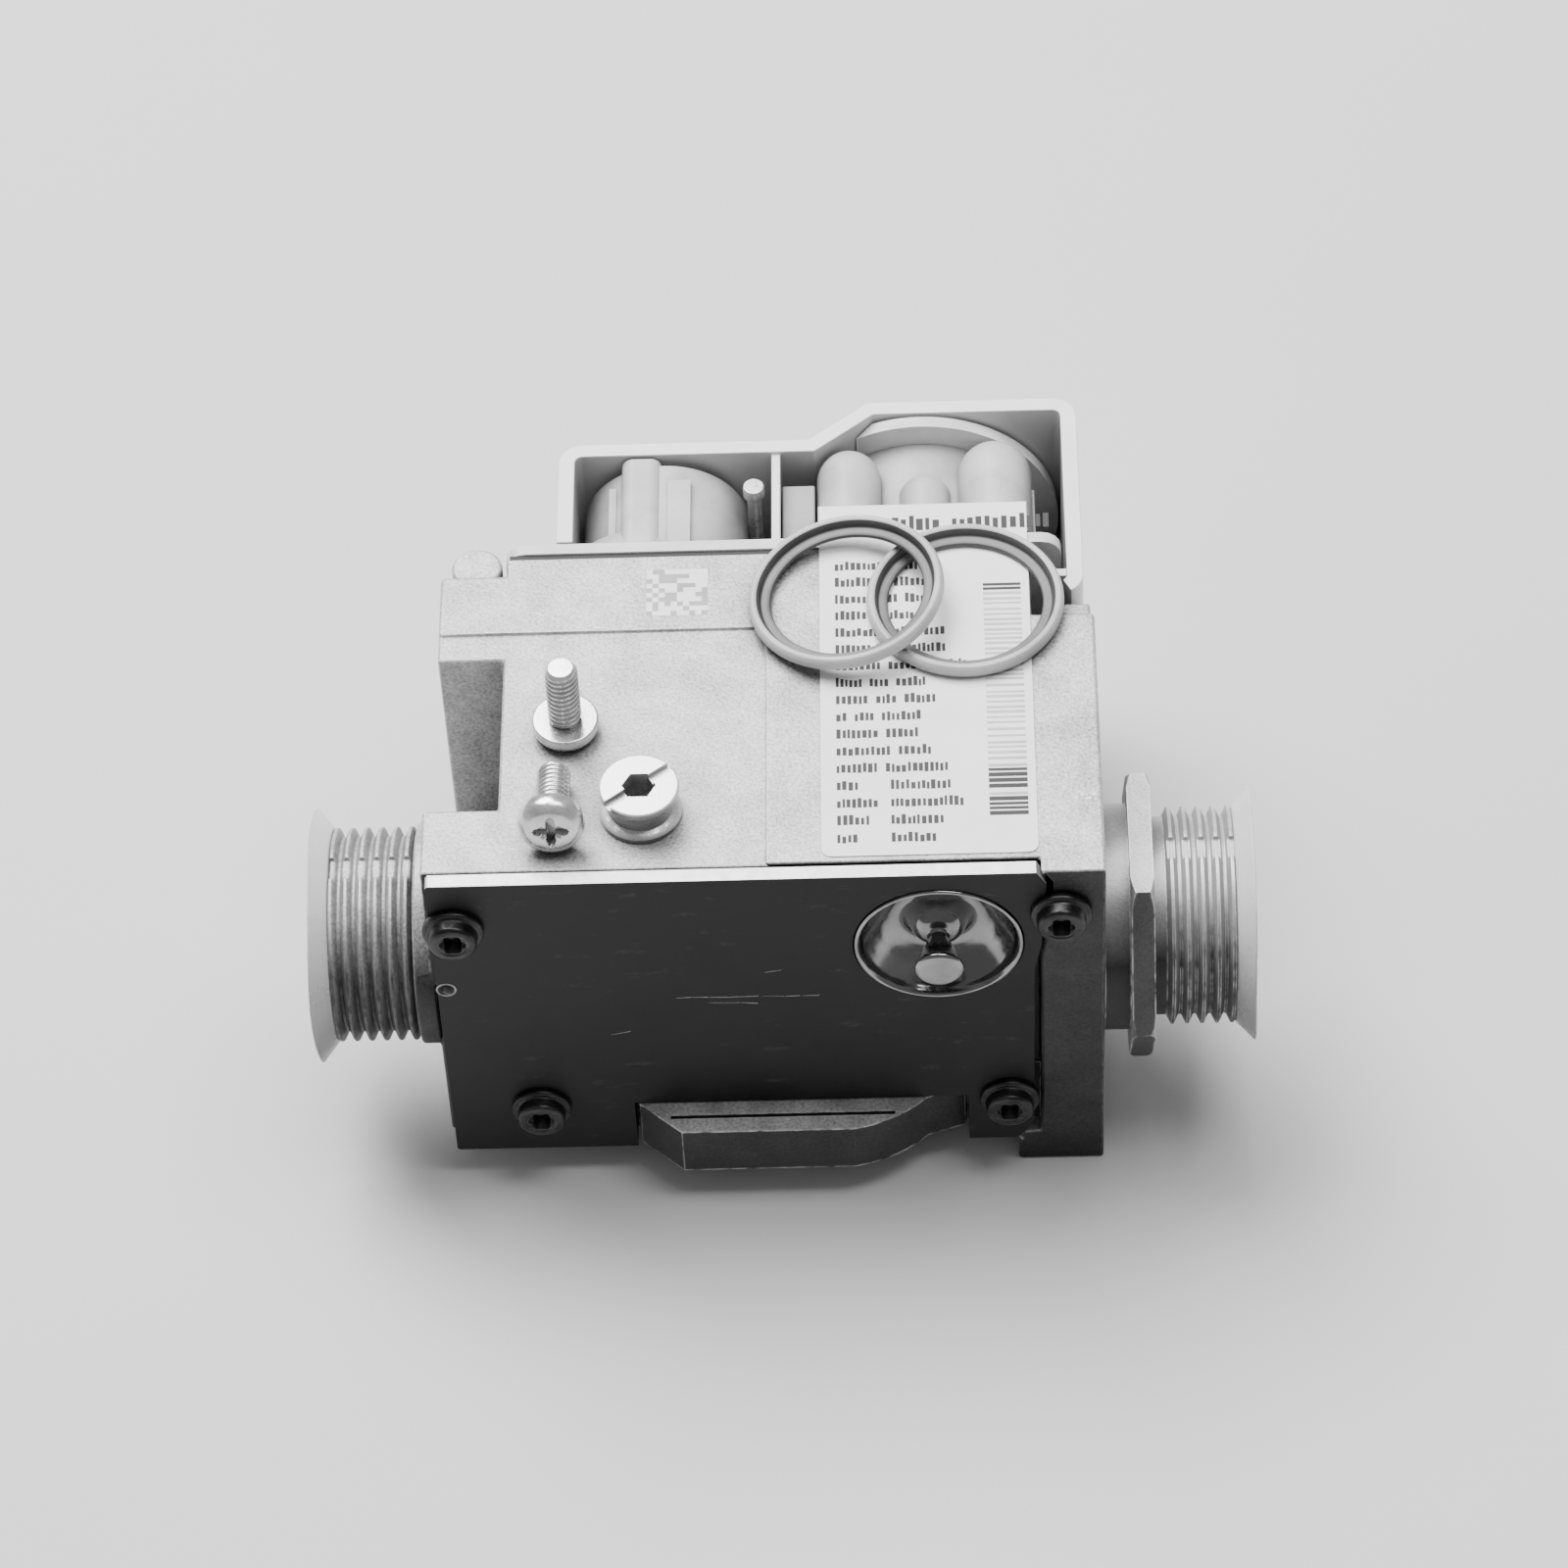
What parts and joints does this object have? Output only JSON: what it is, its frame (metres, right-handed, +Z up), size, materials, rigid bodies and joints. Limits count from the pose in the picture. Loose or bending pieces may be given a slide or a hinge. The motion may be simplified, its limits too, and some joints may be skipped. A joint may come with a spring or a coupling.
{
  "type": "gas valve",
  "caption": "Servo-assisted gas control valve with two solenoid shut-offs, offset adjuster and male threaded ports on a cast block, with seals, screws and dust plugs.",
  "frame": {"origin": "on the underside, straight below the middle of the port axis", "axes": "+X along the port axis towards the gas inlet, -Y out of the front cover plate, +Z up out of the label face"},
  "size_m": [0.1142, 0.081, 0.0677],
  "materials": {
    "cast_aluminium": "matte die-cast, fine blasted grain",
    "adaptor_aluminium": "satin cast",
    "dark_plate": "dark satin sheet with worn bright edges",
    "black_rubber": "matte",
    "dark_screw": "blackened steel",
    "polished_steel": "pressed and polished",
    "turned_aluminium": "turned",
    "zinc_screw": "bright zinc",
    "kit_screw_zinc": "bright zinc",
    "spring_steel": "drawn wire",
    "strainer_steel": "perforated sheet",
    "zinc_plate": "zinc-plated sheet",
    "tube_brass": "drawn",
    "core_steel": "ground",
    "coil_resin": "moulded coil resin",
    "white_plastic": "satin moulded",
    "grey_plastic": "satin moulded",
    "tinned_pin": "tinned",
    "label_paper": "printed film with plain bars",
    "adjuster_metal": "turned and polished",
    "ring_fibre": "grey bonded seal",
    "plug_plastic": "thin translucent moulding"
  },
  "bodies": {
    "root": {"valve_body": "cast_aluminium", "outlet_side": "cast_aluminium", "foot_column": "cast_aluminium", "diaphragm_housing": "cast_aluminium", "front_cover_plate": "dark_plate", "front_gasket": "black_rubber", "cover_screws": "dark_screw", "flow_cap": "polished_steel", "bottom_cover": "cast_aluminium", "bottom_cover_screws": "zinc_screw", "main_diaphragm": "black_rubber", "inlet_adaptor": "adaptor_aluminium", "adaptor_seal": "black_rubber", "inlet_strainer": "strainer_steel", "coil_gasket": "black_rubber", "coil_base_plate": "zinc_plate", "coil_plate_screws": "zinc_screw", "core_tube_1": "tube_brass", "pole_piece_1": "core_steel", "coil_1": "coil_resin", "coil_1_yoke": "zinc_plate", "core_tube_2": "tube_brass", "pole_piece_2": "core_steel", "coil_2": "coil_resin", "coil_2_clip": "zinc_plate", "coil_cover": "white_plastic", "connector_block": "grey_plastic", "terminal_pins": "tinned_pin", "earth_screw": "zinc_screw", "label": "label_paper", "adjuster_sleeve": "adjuster_metal", "pilot_disc": "black_rubber"},
    "main_valve_unit": {"main_valve": "turned_aluminium", "main_valve_seal": "black_rubber", "main_spring": "spring_steel"},
    "armature_1": {"plunger_1": "core_steel", "shutter_1": "black_rubber", "closing_spring_1": "spring_steel"},
    "armature_2": {"plunger_2": "core_steel", "shutter_2": "black_rubber", "closing_spring_2": "spring_steel"},
    "adjuster_carrier": {"adjuster_spring_seat": "core_steel", "adjuster_spring": "spring_steel"},
    "adjuster_turning_screw": {"adjuster_screw": "tube_brass"},
    "ring_right": {"sealing_ring_right": "ring_fibre"},
    "ring_left": {"sealing_ring_left": "ring_fibre"},
    "screw_upright": {"kit_screw_upright": "kit_screw_zinc"},
    "screw_lying": {"kit_screw_lying": "kit_screw_zinc"},
    "inlet_plug": {"inlet_dust_plug": "plug_plastic"},
    "outlet_plug": {"outlet_dust_plug": "plug_plastic"}
  },
  "joints": [
    {"name": "main_valve_lift", "type": "slide", "parent": "root", "child": "main_valve_unit", "axis": [0, 0, 1], "range_m": [0, 0.004], "stiffness_N_per_m": 120, "springref_m": -0.01, "deforming": ["main_spring"]},
    {"name": "solenoid_1_open", "type": "slide", "parent": "root", "child": "armature_1", "axis": [0, 1, 0], "range_m": [0, 0.003], "stiffness_N_per_m": 200, "springref_m": -0.006, "deforming": ["closing_spring_1"]},
    {"name": "solenoid_2_open", "type": "slide", "parent": "root", "child": "armature_2", "axis": [0, 1, 0], "range_m": [0, 0.0015], "stiffness_N_per_m": 200, "springref_m": -0.004, "deforming": ["closing_spring_2"]},
    {"name": "adjuster_travel", "type": "slide", "parent": "root", "child": "adjuster_carrier", "axis": [0, 0, 1], "range_m": [-0.0012, 0.0012], "deforming": ["adjuster_spring"]},
    {"name": "adjuster_turn", "type": "hinge", "parent": "adjuster_carrier", "child": "adjuster_turning_screw", "pos_m": [-0.016, -0.0035, 0.0517], "axis": [0, 0, 1], "range_deg": [-550, 550]},
    {"name": "ring_right_lift", "type": "slide", "parent": "root", "child": "ring_right", "axis": [0, 0, 1], "range_m": [0, 0.05]},
    {"name": "ring_left_lift", "type": "slide", "parent": "ring_right", "child": "ring_left", "axis": [0, 0, 1], "range_m": [0, 0.05]},
    {"name": "screw_upright_lift", "type": "slide", "parent": "root", "child": "screw_upright", "axis": [0, 0, 1], "range_m": [0, 0.05]},
    {"name": "screw_lying_lift", "type": "slide", "parent": "root", "child": "screw_lying", "axis": [0, 0, 1], "range_m": [0, 0.05]},
    {"name": "inlet_plug_pull", "type": "slide", "parent": "root", "child": "inlet_plug", "axis": [1, 0, 0], "range_m": [0, 0.03]},
    {"name": "outlet_plug_pull", "type": "slide", "parent": "root", "child": "outlet_plug", "axis": [-1, 0, 0], "range_m": [0, 0.03]}
  ],
  "couplings": [
    {"joint": "adjuster_turn", "follows": "adjuster_travel", "rad_per_m": 7854}
  ]
}
